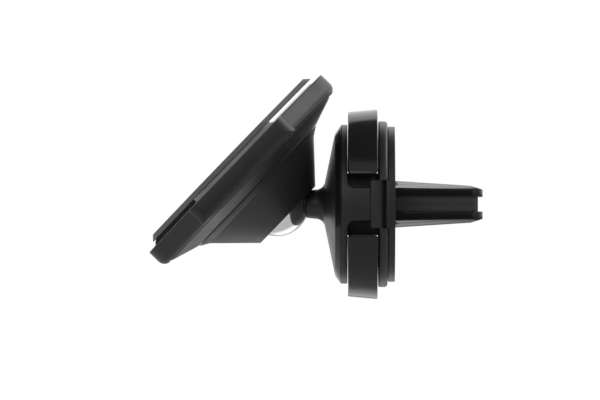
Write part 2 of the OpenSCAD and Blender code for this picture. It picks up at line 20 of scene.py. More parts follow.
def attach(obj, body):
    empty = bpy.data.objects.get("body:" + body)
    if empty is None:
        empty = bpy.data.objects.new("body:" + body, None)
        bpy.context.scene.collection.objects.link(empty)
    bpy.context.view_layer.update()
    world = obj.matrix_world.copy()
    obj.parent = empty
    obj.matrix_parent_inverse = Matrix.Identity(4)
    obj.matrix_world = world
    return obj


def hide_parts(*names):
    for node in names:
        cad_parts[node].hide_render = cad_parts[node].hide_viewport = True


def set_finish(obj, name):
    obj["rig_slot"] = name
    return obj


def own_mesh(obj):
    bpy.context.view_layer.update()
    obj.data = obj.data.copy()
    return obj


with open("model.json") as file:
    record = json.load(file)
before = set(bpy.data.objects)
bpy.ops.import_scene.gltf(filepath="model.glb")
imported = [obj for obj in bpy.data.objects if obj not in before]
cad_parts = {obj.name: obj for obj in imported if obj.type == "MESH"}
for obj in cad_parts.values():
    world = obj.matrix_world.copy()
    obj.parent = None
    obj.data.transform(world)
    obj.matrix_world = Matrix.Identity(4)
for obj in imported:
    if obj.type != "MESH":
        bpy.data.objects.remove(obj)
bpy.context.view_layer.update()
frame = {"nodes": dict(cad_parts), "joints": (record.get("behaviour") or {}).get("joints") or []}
nodes = frame["nodes"]
joints = {joint["name"]: joint for joint in frame["joints"]}

# %% [markdown]
# ## Two local frames
#
# Most pieces are drawn about one of two axes. The head's pieces stand on the axis that it spins on, the
# base's on X. The joint list gives the ball's centre and the spin axis, so nothing is typed in twice. A
# matrix turns a shape drawn about Z into its place. The head is an octagon with round corners: rim_r is
# half the width across its flats.

# %% Axes of the head and the base
MM = 0.001
AT_AXIS = 1e-6
SHARP_FROM = 32
ball_centre = Vector(joints["head_spin"]["pos_m"])
head_axis = Vector(joints["head_spin"]["axis"]).normalized()
head_side = Vector((0, 1, 0)).cross(head_axis)
head_turn = Matrix((head_side, (0, 1, 0), head_axis)).transposed().to_4x4()
head_frame = Matrix.Translation(ball_centre) @ head_turn
base_frame = Matrix(((0, 0, 1, 0), (0, 1, 0, 0), (-1, 0, 0, 0), (0, 0, 0, 1)))
rim_r, rim_corner = 32.7, 8.5
corner_core = rim_r - rim_corner
lean = math.degrees(head_axis.angle(Vector((-1, 0, 0))))
print("head axis leans", round(lean, 1), "degrees from the base's axis")

# %% [markdown]
# ## Turning a round piece from its section
#
# A moulded or machined round part is drawn as half of its cross-section: a closed line of (radius,
# height) points. Real parts never have knife edges, so each corner may carry a small radius. The helper
# replaces such a corner by an arc, then carries the line round the axis. Spinning the section in code,
# and not with a modifier, gives full control of the number of steps and leaves no doubled points at the
# axis.

# %% Rounded sections
def rounded(corners, steps=5):
    """Corners are (radius, height) or (radius, height, fillet) in millimetres; returns the line with arcs."""
    line = []
    for i, corner in enumerate(corners):
        here = Vector(corner[:2])
        fillet = corner[2] if len(corner) > 2 else 0
        if not fillet:
            line.append(here)
            continue
        to_last = Vector(corners[i - 1][:2]) - here
        to_next = Vector(corners[(i + 1) % len(corners)][:2]) - here
        angle = to_last.angle(to_next)
        reach = min(fillet / math.tan(angle / 2), 0.48 * to_last.length, 0.48 * to_next.length)
        radius = reach * math.tan(angle / 2)
        halfway = (to_last.normalized() + to_next.normalized()).normalized()
        centre = here + halfway * radius / math.sin(angle / 2)
        start = here + to_last.normalized() * reach - centre
        turn = start.angle_signed(here + to_next.normalized() * reach - centre)
        for k in range(steps + 1):
            part = -turn * k / steps
            line.append(centre + Matrix.Rotation(part, 2) @ start)
    return line


def arc(centre, radius, start, end, steps=8):
    """Points on an arc, for a fillet that is drawn out point by point."""
    angles = [math.radians(start + (end - start) * k / steps) for k in range(steps + 1)]
    return [(centre[0] + radius * math.cos(a), centre[1] + radius * math.sin(a)) for a in angles]


def skin(work, columns):
    """Faces between neighbouring columns of points, each column closed on itself."""
    for i, column in enumerate(columns):
        other = columns[(i + 1) % len(columns)]
        for k in range(len(column)):
            n = (k + 1) % len(column)
            ring = list(dict.fromkeys([column[k], column[n], other[n], other[k]]))
            if len(ring) > 2:
                work.faces.new(ring)


def finish_solid(name, work, place):
    """Puts a closed bmesh in its place, turns its faces outwards and makes it an object."""
    work.transform(place)
    bmesh.ops.recalc_face_normals(work, faces=work.faces)
    return keep(name, work)


def turned(name, corners, place, steps=192):
    """A closed ring or disc: the rounded section carried round the local Z axis, then put in place."""
    line = rounded(corners)
    work = bmesh.new()
    columns = []
    for point in line:
        if point.x < AT_AXIS:
            columns.append([work.verts.new((0, 0, point.y * MM))] * steps)
            continue
        columns.append([work.verts.new((point.x * MM * math.cos(2 * math.pi * k / steps),
                                        point.x * MM * math.sin(2 * math.pi * k / steps), point.y * MM))
                        for k in range(steps)])
    skin(work, columns)
    return finish_solid(name, work, place)


def eight_sided(name, corners, place, corner_steps=12):
    """As turned(), but carried round the head's outline: eight flats with round corners between them.

    Points nearer to the axis than blend_r run round a circle, so that the octagon's inside meets round parts.
    """
    half_step = math.pi / 8
    reach, blend_r, flat_end, spoke_r = corner_core / math.cos(half_step), 28.0, 0.4, 30
    flat_len = 2 * corner_core * math.tan(half_step)
    shifts = [flat_end] + [flat_len * j / 10 for j in range(1, 10)] + [flat_len - flat_end]
    way = []
    for k in range(8):
        centre_angle = math.radians(45 * k + 22.5)
        centre = Vector((reach * math.cos(centre_angle), reach * math.sin(centre_angle)))
        facing = [(45 * (k + i / corner_steps), 0) for i in range(corner_steps + 1)]
        for degrees, shift in facing + [(45 * (k + 1), shift) for shift in shifts]:
            a = math.radians(degrees)
            out, along = Vector((math.cos(a), math.sin(a))), Vector((-math.sin(a), math.cos(a)))
            base = centre + shift * along
            way.append((base, out, (base + (spoke_r - corner_core) * out).normalized()))
    work = bmesh.new()
    columns = []
    for point in rounded(corners):
        if point.x < AT_AXIS:
            columns.append([work.verts.new((0, 0, point.y * MM))] * len(way))
            continue
        spots = [toward * point.x if point.x < blend_r else base + (point.x - corner_core) * out
                 for base, out, toward in way]
        columns.append([work.verts.new((spot.x * MM, spot.y * MM, point.y * MM)) for spot in spots])
    skin(work, columns)
    return finish_solid(name, work, place)


def keep(name, work, smooth_below=SHARP_FROM):
    """Turns a bmesh into a named object with smooth faces and sharp real edges."""
    mesh = bpy.data.meshes.new(name)
    work.to_mesh(mesh)
    work.free()
    mesh.shade_smooth()
    mesh.set_sharp_from_angle(angle=math.radians(smooth_below))
    piece = bpy.data.objects.new(name, mesh)
    bpy.context.scene.collection.objects.link(piece)
    return piece


# %% [markdown]
# ## Joining, cutting and softening shapes
#
# A lug that grows out of a round tray, or a window through a cover, is a solid operation. The exact
# Boolean does it, and the result is made a plain mesh at once, so that no live modifier is left on a
# finished piece. Pieces whose CAD shape is right, such as the base's mouldings, are copied from the CAD
# mesh. Its loose triangles are merged, flat areas are made whole again, and a narrow bevel gives each
# edge the small radius that a mould leaves. That radius is what draws the thin bright lines along a black
# part's edges.

# %% Solid operations
def settle(piece, smooth_below=SHARP_FROM):
    """Applies the modifiers on a piece and leaves a plain mesh."""
    bpy.context.view_layer.update()
    solved = piece.evaluated_get(bpy.context.evaluated_depsgraph_get())
    mesh = bpy.data.meshes.new_from_object(solved)
    piece.modifiers.clear()
    old = piece.data
    piece.data = mesh
    bpy.data.meshes.remove(old)
    mesh.name = piece.name
    mesh.shade_smooth()
    mesh.set_sharp_from_angle(angle=math.radians(smooth_below))
    return piece


def combine(piece, tool, operation):
    """UNION, DIFFERENCE or INTERSECT with a tool that is used up."""
    step = piece.modifiers.new("solid", "BOOLEAN")
    step.operation = operation
    step.object = tool
    step.solver = "EXACT"
    settle(piece)
    bpy.data.objects.remove(tool)
    return piece


def soften(piece, radius, steps=3, above=38, clamp=True):
    """Rounds every edge that is sharper than the given angle."""
    bevel = piece.modifiers.new("edge radius", "BEVEL")
    bevel.width = radius * MM
    bevel.segments = steps
    bevel.limit_method = "ANGLE"
    bevel.angle_limit = math.radians(above)
    bevel.use_clamp_overlap = clamp
    bevel.miter_outer = "MITER_ARC"
    return settle(piece)


def from_cad(node, radius):
    """A merged copy of a CAD node with softened edges."""
    doubles, flat_below = 0.002, 0.6
    work = bmesh.new()
    work.from_mesh(nodes[node].data)
    bmesh.ops.remove_doubles(work, verts=work.verts, dist=doubles * MM)
    bmesh.ops.dissolve_limit(work, angle_limit=math.radians(flat_below), verts=work.verts, edges=work.edges)
    return soften(keep(node + "_shell", work), radius, clamp=False)


def prism(name, outline, low, high, place):
    """A flat outline of (x, y) points in millimetres, raised from low to high along the local Z."""
    work = bmesh.new()
    bottom = [work.verts.new((x * MM, y * MM, low * MM)) for x, y in outline]
    top = [work.verts.new((x * MM, y * MM, high * MM)) for x, y in outline]
    work.faces.new(bottom[::-1])
    work.faces.new(top)
    for k in range(len(outline)):
        n = (k + 1) % len(outline)
        work.faces.new((bottom[k], bottom[n], top[n], top[k]))
    return finish_solid(name, work, place)


dressed = {}


def dress(piece, node, body, slot):
    """Books a finished piece: the body it moves with, the node it stands for and its finish's slot."""
    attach(piece, body)
    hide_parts(node)
    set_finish(piece, slot)
    dressed[node] = piece
    print(f"{piece.name}: {len(piece.data.polygons)} faces for {node}")
    return piece

# %% [markdown]
# ## The face: rubber pad
#
# The phone rests on a soft eight-sided pad over the magnets. Its rim is chamfered so that it doesn't
# peel. A shallow circular groove runs round the face, a line that a mould leaves easily and that breaks
# up the plain rubber. All of this is one section carried round the head's outline, which becomes a circle
# towards the middle.

# %% Face pad
pad_low, pad_high = 15.1, 18.05
groove_low = pad_high - 0.22
pad_shell = eight_sided("face_pad_shell", [
    (0, pad_low), (27.55, pad_low), (27.55, 16.65), (29.9, 16.65, 0.05), (29.9, 16.78, 0.1),
    (28.6, pad_high, 0.25), (26.2, pad_high, 0.1), (26.0, groove_low, 0.08), (25.4, groove_low, 0.08),
    (25.2, pad_high, 0.1), (0, pad_high)], head_frame)
dress(pad_shell, "face_pad", "head", "pad_rubber")

# %% [markdown]
# ## The rim tray
#
# The tray holds the magnets and the polished ring. It is a shallow eight-sided dish with a rounded back
# edge, and a flat lug stands out on each side where fingers hold it. Each lug is a prism cut to a plan
# with round corners, softened along its edges, and then joined to the dish by a Boolean, as it would be
# in a solid modeller. Its blocks stop a few hundredths of a millimetre short of the dish's own faces,
# because a Boolean fails on faces that coincide.

# %% Rim tray
rim_front, rim_round = 15.5, 2.3
tray_shell = eight_sided("rim_tray_shell", [
    (0, 10.4), (20.25, 10.4), (20.25, 7.3), (22.5, 7.3, 0.12), (29.75, 9.6, 0.1), (30.1, 9.85, 0.08),
    (30.2, 10.15, 0.08), *arc((rim_r - rim_round, rim_front - 3.45), rim_round, -66, 0, 12),
    (rim_r, rim_front, 0.35), (31.3, rim_front, 0.12), (31.3, 13.15), (27.6, 13.15), (27.6, 11.5), (0, 11.5)],
    head_frame)
lug_flat, lug_half, gap_half, lug_front, lug_corner = 33.0, 17.5, 14.2, 15.4, 3.0


def lug(side, half, flat, front, corner, room_r):
    """One lug: its side view raised along the rim, cut to its plan, softened, and cleared of the inside."""
    room_low, well_low, well_r, above_all = 13.17, 11.52, 27.62, 20
    section = [(23.7, 11.0), (27.9, 10.1), *arc((flat - rim_round, 12.2), rim_round, -60, 0, 10),
               (flat, lug_front), front, (23.7, front[1])]
    across = Matrix(((0, 0, 1, 0), (side, 0, 0, 0), (0, 1, 0, 0), (0, 0, 0, 1)))
    block = prism("lug_side_view", section, -half, half, across)
    plan = [(-half, 0), (half, 0),
            *arc((half - corner, lug_flat - corner), corner, 0, 90, 12),
            *arc((corner - half, lug_flat - corner), corner, 90, 180, 12)]
    combine(block, prism("lug_plan", plan, 0, 30, Matrix.Diagonal((1, side, 1, 1))), "INTERSECT")
    soften(block, 0.3, steps=3, above=28)
    still = Matrix.Identity(4)
    room_section = [(0, room_low), (room_r, room_low), (room_r, above_all), (0, above_all)]
    combine(block, eight_sided("room", room_section, still), "DIFFERENCE")
    well_section = [(0, well_low), (well_r, well_low), (well_r, above_all), (0, above_all)]
    combine(block, turned("well", well_section, still, 240), "DIFFERENCE")
    block.data.transform(head_frame)
    return block


for side in (-1, 1):
    combine(tray_shell, lug(side, lug_half, lug_flat, (28.3, lug_front), lug_corner, 31.35), "UNION")
    combine(tray_shell, lug(side, gap_half, lug_flat - 0.02, (29.9, 16.6), 0.5, 29.97), "UNION")
dress(tray_shell, "rim_tray", "head", "satin_black")

# %% [markdown]
# ## The polished ring
#
# A bright metal ring fills the step between the pad and the rim. Its face slopes outwards, and it stops
# at the lugs. It follows the same outline with small fillets, because a mirror needs smooth curves more
# than any other finish, and two blocks cut the gaps for the lugs.

# %% Polished ring
ring_shell = eight_sided("accent_ring_shell", [
    (27.6, 13.2), (31.25, 13.2), (31.25, 15.5, 0.1), (29.98, 16.58, 0.12), (29.5, 16.6), (27.6, 16.6)],
    head_frame)
for side in (-1, 1):
    notch_half, notch_in, notch_out = gap_half + 0.1, side * 29.2, side * 34
    gap = [(-notch_half, notch_in), (notch_half, notch_in), (notch_half, notch_out), (-notch_half, notch_out)]
    notch = prism("ring_notch", gap, 10, 20, head_frame)
    core_section = [(0, 9), (29.95, 9), (29.95, 21), (0, 21)]
    combine(notch, eight_sided("ring_core", core_section, head_frame), "DIFFERENCE")
    combine(ring_shell, notch, "DIFFERENCE")
dress(ring_shell, "accent_ring", "head", "polished_metal")

# %% [markdown]
# ## The housing behind the tray
#
# A cone closes the back of the head and narrows to a flat face round the ball's mouth. Where it meets the
# tray there is a fine seam, drawn as two small fillets a hair apart. The inside is drawn too: the seat
# for the ball and the hub that the pressure cup slides in.

# %% Rear housing
mouth_r, mouth_back = 9.9, -4.0
seat_r = 8.55
seat = [(seat_r * math.cos(math.radians(a)), seat_r * math.sin(math.radians(a))) for a in range(5, -16, -4)]
housing_shell = turned("rear_housing_shell", [
    (mouth_r, mouth_back, 0.12), (10.45, mouth_back, 0.2), (19.85, 5.62, 0.85), (22.45, 7.2, 0.12),
    (20.2, 7.25), (20.2, 10.35), (17.9, 10.35), (17.9, 5.8), (14.35, 2.8, 0.5), (14.0, 2.8),
    (14.0, 8.4, 0.2), (10.7, 8.4, 0.2), (10.7, 1.0), *seat], head_frame, steps=240)
dress(housing_shell, "rear_housing", "head", "satin_black")

# %% [markdown]
# ## Ball, neck and trumpet
#
# The ball is a mirror-bright sphere with its shank in one piece. The black trumpet grips it and widens in
# one smooth sweep to the front of the base, where a chamfered ring frames it. These three share the
# base's axis.

# %% Ball, trumpet and front ring
reach = -1000 * ball_centre.x
ball_r, ball_end, ball_steps = 8.5, 162.9, 60
ball_angles = [-90 + ball_end * k / ball_steps for k in range(ball_steps + 1)]
ball_shell = turned("ball_stud_shell", [
    *[(ball_r * math.cos(math.radians(a)), -reach + ball_r * math.sin(math.radians(a))) for a in ball_angles],
    (2.5, -12.7, 0.3), (0, -12.7)], base_frame, steps=160)
dress(ball_shell, "ball_stud", "stud", "ball_chrome")

cone_shell = turned("front_cone_shell", [
    (2.55, -23.04), (3.6, -23.44, 0.1), *arc((6.32, 10.3 - reach), 2.42, 180, 102, 14),
    (18.4, -15.9, 0.15), (18.4, -14.35), (16.8, -14.35), (16.8, -14.9), (8.8, -15.4), (8.8, -14.35),
    (6.65, -14.35), (6.65, -17.25), (2.55, -17.25)], base_frame, steps=240)
dress(cone_shell, "front_cone", "base", "satin_black")

front_ring_shell = turned("front_ring_shell", [
    (18.45, -15.85, 0.12), (18.9, -15.85, 0.15), (20.85, -14.45, 0.12), (20.85, -14.35), (18.45, -14.35)],
    base_frame, steps=240)
dress(front_ring_shell, "front_ring", "base", "gloss_black")

# %% [markdown]
# ## The base's mouldings
#
# The body shell, the rear frame, the back cover, the two buttons and the jaws are already right in the
# CAD model, apart from their razor-sharp edges. Each gets a copy with a small radius along its edges:
# wider on the buttons, which fingers press, and narrow on the thin frames.

# %% Softened copies of the base's mouldings
mouldings = [
    ("body_shell", "base", "satin_black", 0.12),
    ("rear_frame", "base", "satin_black", 0.2),
    ("back_cover", "base", "satin_black", 0.07),
    ("upper_button", "upper_squeeze", "gloss_black", 0.3),
    ("lower_button", "lower_squeeze", "gloss_black", 0.3),
    ("upper_jaw", "lower_squeeze", "gloss_black", 0.22),
    ("lower_jaw", "upper_squeeze", "gloss_black", 0.22),
    ("upper_jaw_pad", "lower_squeeze", "jaw_rubber", 0.12),
    ("lower_jaw_pad", "upper_squeeze", "jaw_rubber", 0.12),
    ("upper_slider", "upper_squeeze", "inner_plastic", 0.15),
    ("lower_slider", "lower_squeeze", "inner_plastic", 0.15),
]
pad_edge, pad_shift = 0.25, 0.0595
for node, body, slot, radius in mouldings:
    piece = from_cad(node, radius)
    if slot == "jaw_rubber":
        for vertex in piece.data.vertices:
            if abs(vertex.co.z) < pad_edge * MM:
                vertex.co.z -= math.copysign(pad_shift * MM, vertex.co.z)
    dress(piece, node, body, slot)

# %% [markdown]
# ## Parts that repeat round an axis
#
# Screws and magnets sit at even steps round an axis. One of each is made once, standing at its radius,
# and a small Geometry Nodes tree repeats it: it puts a number of points at the centre, places the part on
# each and turns each copy one step further. The tree ends in Realize Instances and Set Material, because
# instances don't survive an export.

# %% The tree that repeats a part
def add(tree, kind, settings=None, plain=(), **inputs):
    """Adds a node. Inputs are named, with _ for a space, or given in order; sockets are linked, values set."""
    step = tree.nodes.new(kind)
    for key, value in (settings or {}).items():
        setattr(step, key, value)
    pairs = [(step.inputs[i], value) for i, value in enumerate(plain)]
    pairs += [(step.inputs[key.replace("_", " ")], value) for key, value in inputs.items()]
    for socket, value in pairs:
        if isinstance(value, bpy.types.NodeSocket):
            tree.links.new(value, socket)
        elif value is not None:
            socket.default_value = value
    return step


def tree_of(kind, name, inputs, outputs):
    """A node tree with named inputs (name, socket type, value) and outputs (name, socket type)."""
    tree = bpy.data.node_groups.new(name, kind)
    for label, socket_kind, value in inputs:
        socket = tree.interface.new_socket(label, in_out="INPUT", socket_type=socket_kind)
        if value is not None:
            socket.default_value = value
    for label, socket_kind in outputs:
        tree.interface.new_socket(label, in_out="OUTPUT", socket_type=socket_kind)
    return tree, tree.nodes.new("NodeGroupInput").outputs, tree.nodes.new("NodeGroupOutput")


round_tree, given, result = tree_of("GeometryNodeTree", "repeat_round", [
    ("Part", "NodeSocketObject", None), ("Count", "NodeSocketInt", 4),
    ("First Angle", "NodeSocketFloat", 0.0), ("Finish", "NodeSocketMaterial", None)],
    [("Geometry", "NodeSocketGeometry")])
part = add(round_tree, "GeometryNodeObjectInfo", Object=given["Part"])
centre = add(round_tree, "GeometryNodeMeshLine", Count=given["Count"], Offset=(0, 0, 0))
index = add(round_tree, "GeometryNodeInputIndex")
step_angle = add(round_tree, "ShaderNodeMath", {"operation": "DIVIDE"}, [2 * math.pi, given["Count"]])
angle = add(round_tree, "ShaderNodeMath", {"operation": "MULTIPLY_ADD"},
            [index.outputs[0], step_angle.outputs[0], given["First Angle"]])
turn = add(round_tree, "ShaderNodeCombineXYZ", Z=angle.outputs[0])
copies = add(round_tree, "GeometryNodeInstanceOnPoints", Points=centre.outputs[0],
             Instance=part.outputs["Geometry"], Rotation=turn.outputs[0])
real = add(round_tree, "GeometryNodeRealizeInstances", Geometry=copies.outputs[0])
finished = add(round_tree, "GeometryNodeSetMaterial", Geometry=real.outputs[0], Material=given["Finish"])
round_tree.links.new(finished.outputs[0], result.inputs[0])


def grow(name, tree, place, **values):
    """Runs a Geometry Nodes tree on an empty mesh and leaves its result as a plain mesh, put in place."""
    piece = keep(name, bmesh.new())
    modifier = piece.modifiers.new(tree.name, "NODES")
    modifier.node_group = tree
    sockets = {item.name: item.identifier for item in tree.interface.items_tree if item.in_out == "INPUT"}
    for key, value in values.items():
        modifier[sockets[key.replace("_", " ")]] = value
    settle(piece)
    piece.data.transform(place)
    return piece


def cross_screw(name, head_r, head_low, head_high, shank_r, tip, stand_off, steps=40):
    """A pan-head screw with a cross recess, its axis along Z at stand_off from the centre."""
    dome = 0.3 * (head_high - head_low)
    screw = turned(name, [
        (0, tip), (shank_r * 0.6, tip, 0.05), (shank_r, tip + shank_r, 0.1), (shank_r, head_low),
        (head_r, head_low, 0.05), (head_r, head_high - dome, 0.15), (head_r * 0.7, head_high - 0.02, 0.6),
        (0, head_high)],
        Matrix.Identity(4), steps)
    arm, width, depth = 0.62 * head_r, 0.2 * head_r, 0.62 * (head_high - head_low)
    for wide, deep in ((arm, width), (width, arm)):
        slit = prism("recess", [(-wide, -deep), (wide, -deep), (wide, deep), (-wide, deep)],
                     head_high - depth, head_high + 1, Matrix.Identity(4))
        combine(screw, slit, "DIFFERENCE")
    screw.data.transform(Matrix.Translation((stand_off * MM, 0, 0)))
    return screw


# %% [markdown]
# ## Materials that are shared: grain, gloss, wear and dust
#
# A moulded part is never one flat colour. Its surface has a fine grain from the mould, its gloss drifts a
# little from place to place, its edges are polished by handling and a few specks of dust settle on it.
# Each of these is a shader group that puts out one number, and every material uses them with its own
# amounts. The patterns read Object coordinates, so that they stay put on the piece when it moves.

# %% Shader groups
def value_map(tree, value, low, high, to_low=0.0, to_high=1.0):
    return add(tree, "ShaderNodeMapRange", None, [value, low, high, to_low, to_high]).outputs[0]


grain_group, given, result = tree_of("ShaderNodeTree", "moulded_grain", [
    ("Vector", "NodeSocketVector", None), ("Size", "NodeSocketFloat", 0.2)], [("Height", "NodeSocketFloat")])
per_metre = add(grain_group, "ShaderNodeMath", {"operation": "DIVIDE"}, [1000.0, given["Size"]])
speckle = add(grain_group, "ShaderNodeTexNoise", Vector=given["Vector"], Scale=per_metre.outputs[0],
              Detail=3.0, Roughness=0.6)
pits = add(grain_group, "ShaderNodeTexVoronoi", {"feature": "SMOOTH_F1"}, Vector=given["Vector"],
           Scale=per_metre.outputs[0])
height = add(grain_group, "ShaderNodeMath", {"operation": "MULTIPLY_ADD"},
             [pits.outputs["Distance"], 0.5, speckle.outputs[0]])
grain_group.links.new(height.outputs[0], result.inputs[0])

drift_group, given, result = tree_of("ShaderNodeTree", "gloss_drift", [
    ("Vector", "NodeSocketVector", None), ("Size", "NodeSocketFloat", 6.0), ("Low", "NodeSocketFloat", 0.9),
    ("High", "NodeSocketFloat", 1.1)], [("Value", "NodeSocketFloat")])
per_metre = add(drift_group, "ShaderNodeMath", {"operation": "DIVIDE"}, [1000.0, given["Size"]])
clouds = add(drift_group, "ShaderNodeTexNoise", Vector=given["Vector"], Scale=per_metre.outputs[0],
             Detail=4.0)
spread = add(drift_group, "ShaderNodeMapRange", None,
             [clouds.outputs[0], 0.3, 0.7, given["Low"], given["High"]])
drift_group.links.new(spread.outputs[0], result.inputs[0])

wear_group, given, result = tree_of("ShaderNodeTree", "edge_polish", [
    ("Vector", "NodeSocketVector", None), ("Radius", "NodeSocketFloat", 0.3)], [("Mask", "NodeSocketFloat")])
metres = add(wear_group, "ShaderNodeMath", {"operation": "MULTIPLY"}, [given["Radius"], MM])
rounded_normal = add(wear_group, "ShaderNodeBevel", {"samples": 4}, Radius=metres.outputs[0])
true_normal = add(wear_group, "ShaderNodeNewGeometry")
same = add(wear_group, "ShaderNodeVectorMath", {"operation": "DOT_PRODUCT"},
           [rounded_normal.outputs[0], true_normal.outputs["Normal"]])
edge = value_map(wear_group, same.outputs["Value"], 0.995, 0.9)
patches = add(wear_group, "ShaderNodeTexNoise", Vector=given["Vector"], Scale=900.0, Detail=3.0)
broken = add(wear_group, "ShaderNodeMath", {"operation": "MULTIPLY"},
             [edge, value_map(wear_group, patches.outputs[0], 0.35, 0.65)])
wear_group.links.new(broken.outputs[0], result.inputs[0])

dust_group, given, result = tree_of("ShaderNodeTree", "dust_specks", [
    ("Vector", "NodeSocketVector", None), ("Amount", "NodeSocketFloat", 0.06)], [("Mask", "NodeSocketFloat")])
specks = add(dust_group, "ShaderNodeTexVoronoi", Vector=given["Vector"], Scale=700.0, Randomness=1.0)
reach_out = add(dust_group, "ShaderNodeTexNoise", Vector=given["Vector"], Scale=160.0, Detail=2.0)
limit = add(dust_group, "ShaderNodeMath", {"operation": "MULTIPLY"}, [reach_out.outputs[0], given["Amount"]])
inside = add(dust_group, "ShaderNodeMath", {"operation": "LESS_THAN"},
             [specks.outputs["Distance"], limit.outputs[0]])
dust_group.links.new(inside.outputs[0], result.inputs[0])

marks_group, given, result = tree_of("ShaderNodeTree", "turning_marks", [
    ("Vector", "NodeSocketVector", None), ("Pitch", "NodeSocketFloat", 0.12)], [("Height", "NodeSocketFloat")])
parts = add(marks_group, "ShaderNodeSeparateXYZ", None, [given["Vector"]])
flat = add(marks_group, "ShaderNodeCombineXYZ", X=parts.outputs[0], Y=parts.outputs[1])
radius = add(marks_group, "ShaderNodeVectorMath", {"operation": "LENGTH"}, [flat.outputs[0]])
shells = add(marks_group, "ShaderNodeMath", {"operation": "DIVIDE"}, [radius.outputs["Value"], MM])
count = add(marks_group, "ShaderNodeMath", {"operation": "DIVIDE"}, [shells.outputs[0], given["Pitch"]])
lines = add(marks_group, "ShaderNodeTexNoise", {"noise_dimensions": "1D"},
            W=count.outputs[0], Scale=1.0, Detail=2.0)
marks_group.links.new(lines.outputs[0], result.inputs[0])
print("shader groups:", [g.name for g in bpy.data.node_groups if g.bl_idname == "ShaderNodeTree"])


# %% [markdown]
# ## One recipe for plastics and rubbers, one for metals
#
# Plastics and rubbers differ in colour, gloss and grain, but their nodes are the same, so one function
# builds them all. A metal has no grain from a mould: it has marks from turning, rolling or plating.

# %% Recipes
def start(name):
    finish = bpy.data.materials.new(name)
    finish.use_nodes = True
    tree = finish.node_tree
    tree.nodes.clear()
    shader = tree.nodes.new("ShaderNodeBsdfPrincipled")
    output = add(tree, "ShaderNodeOutputMaterial", Surface=shader.outputs[0])
    place = tree.nodes.new("ShaderNodeTexCoord").outputs["Object"]
    return finish, tree, shader, place


def use(tree, group, **inputs):
    step = tree.nodes.new("ShaderNodeGroup")
    step.node_tree = group
    for key, value in inputs.items():
        socket = step.inputs[key.replace("_", " ")]
        if isinstance(value, bpy.types.NodeSocket):
            tree.links.new(value, socket)
        else:
            socket.default_value = value
    return step.outputs[0]


def blend(tree, mask, a, b):
    """Colour a where the mask is 0 and colour b where it is 1."""
    step = tree.nodes.new("ShaderNodeMix")
    step.data_type = "RGBA"
    for socket, value in zip((step.inputs[0], step.inputs[6], step.inputs[7]), (mask, a, b)):
        if isinstance(value, bpy.types.NodeSocket):
            tree.links.new(value, socket)
        else:
            socket.default_value = (*value, 1)
    return step.outputs[2]


def times(tree, a, b):
    return add(tree, "ShaderNodeMath", {"operation": "MULTIPLY", "use_clamp": True}, [a, b]).outputs[0]


def bump(tree, height, depth, strength=1.0):
    """Depth is in millimetres."""
    return add(tree, "ShaderNodeBump", Height=height, Distance=depth * MM, Strength=strength).outputs[0]


def moulded(name, colour, rough, grain=0.2, depth=0.004, worn=1.6, dust=0.1, specular=0.5, sheen=0.0):
    """A moulded plastic or rubber: colour, roughness, grain size and depth in mm, and wear at the edges."""
    finish, tree, shader, place = start(name)
    shader.inputs["Specular IOR Level"].default_value = specular
    shader.inputs["Sheen Weight"].default_value = sheen
    worn_edge = use(tree, wear_group, Vector=place, Radius=0.25)
    specks = use(tree, dust_group, Vector=place, Amount=dust)
    shade = use(tree, drift_group, Vector=place, Size=9.0, Low=0.85, High=1.15)
    tone = blend(tree, shade, [0.8 * c for c in colour], [1.2 * c for c in colour])
    tone = blend(tree, worn_edge, tone, [worn * c for c in colour])
    tone = blend(tree, specks, tone, (0.12, 0.115, 0.11))
    tree.links.new(tone, shader.inputs["Base Color"])
    gloss = times(tree, use(tree, drift_group, Vector=place, Size=5.0, Low=0.92, High=1.08), rough)
    dulled = add(tree, "ShaderNodeMath", {"operation": "MULTIPLY_ADD", "use_clamp": True},
                 [specks, 0.35, gloss])
    tree.links.new(dulled.outputs[0], shader.inputs["Roughness"])
    height = use(tree, grain_group, Vector=place, Size=grain)
    tree.links.new(bump(tree, height, depth), shader.inputs["Normal"])
    return finish


def metal(name, colour, rough, place_on=None, pitch=0.12, depth=0.0006, grain=0.1):
    """A metal. place_on is the matrix of the axis that it was turned about; without it, rolled or plated."""
    finish, tree, shader, place = start(name)
    shader.inputs["Metallic"].default_value = 1.0
    tone = blend(tree, use(tree, drift_group, Vector=place, Size=4.0, Low=0.0, High=1.0),
                 [0.93 * c for c in colour], colour)
    tree.links.new(tone, shader.inputs["Base Color"])
    drift = use(tree, drift_group, Vector=place, Size=2.5, Low=0.8, High=1.25)
    tree.links.new(times(tree, drift, rough), shader.inputs["Roughness"])
    if place_on is not None:
        back = place_on.inverted()
        mapping = add(tree, "ShaderNodeMapping", {"vector_type": "POINT"}, Vector=place,
                      Location=back.to_translation(), Rotation=back.to_euler())
        height = use(tree, marks_group, Vector=mapping.outputs[0], Pitch=pitch)
    else:
        height = use(tree, grain_group, Vector=place, Size=grain)
    tree.links.new(bump(tree, height, depth), shader.inputs["Normal"])
    return finish


# %% [markdown]
# ## The finishes themselves
#
# The names are those of the record's material slots, so that a scene can repaint any of them.

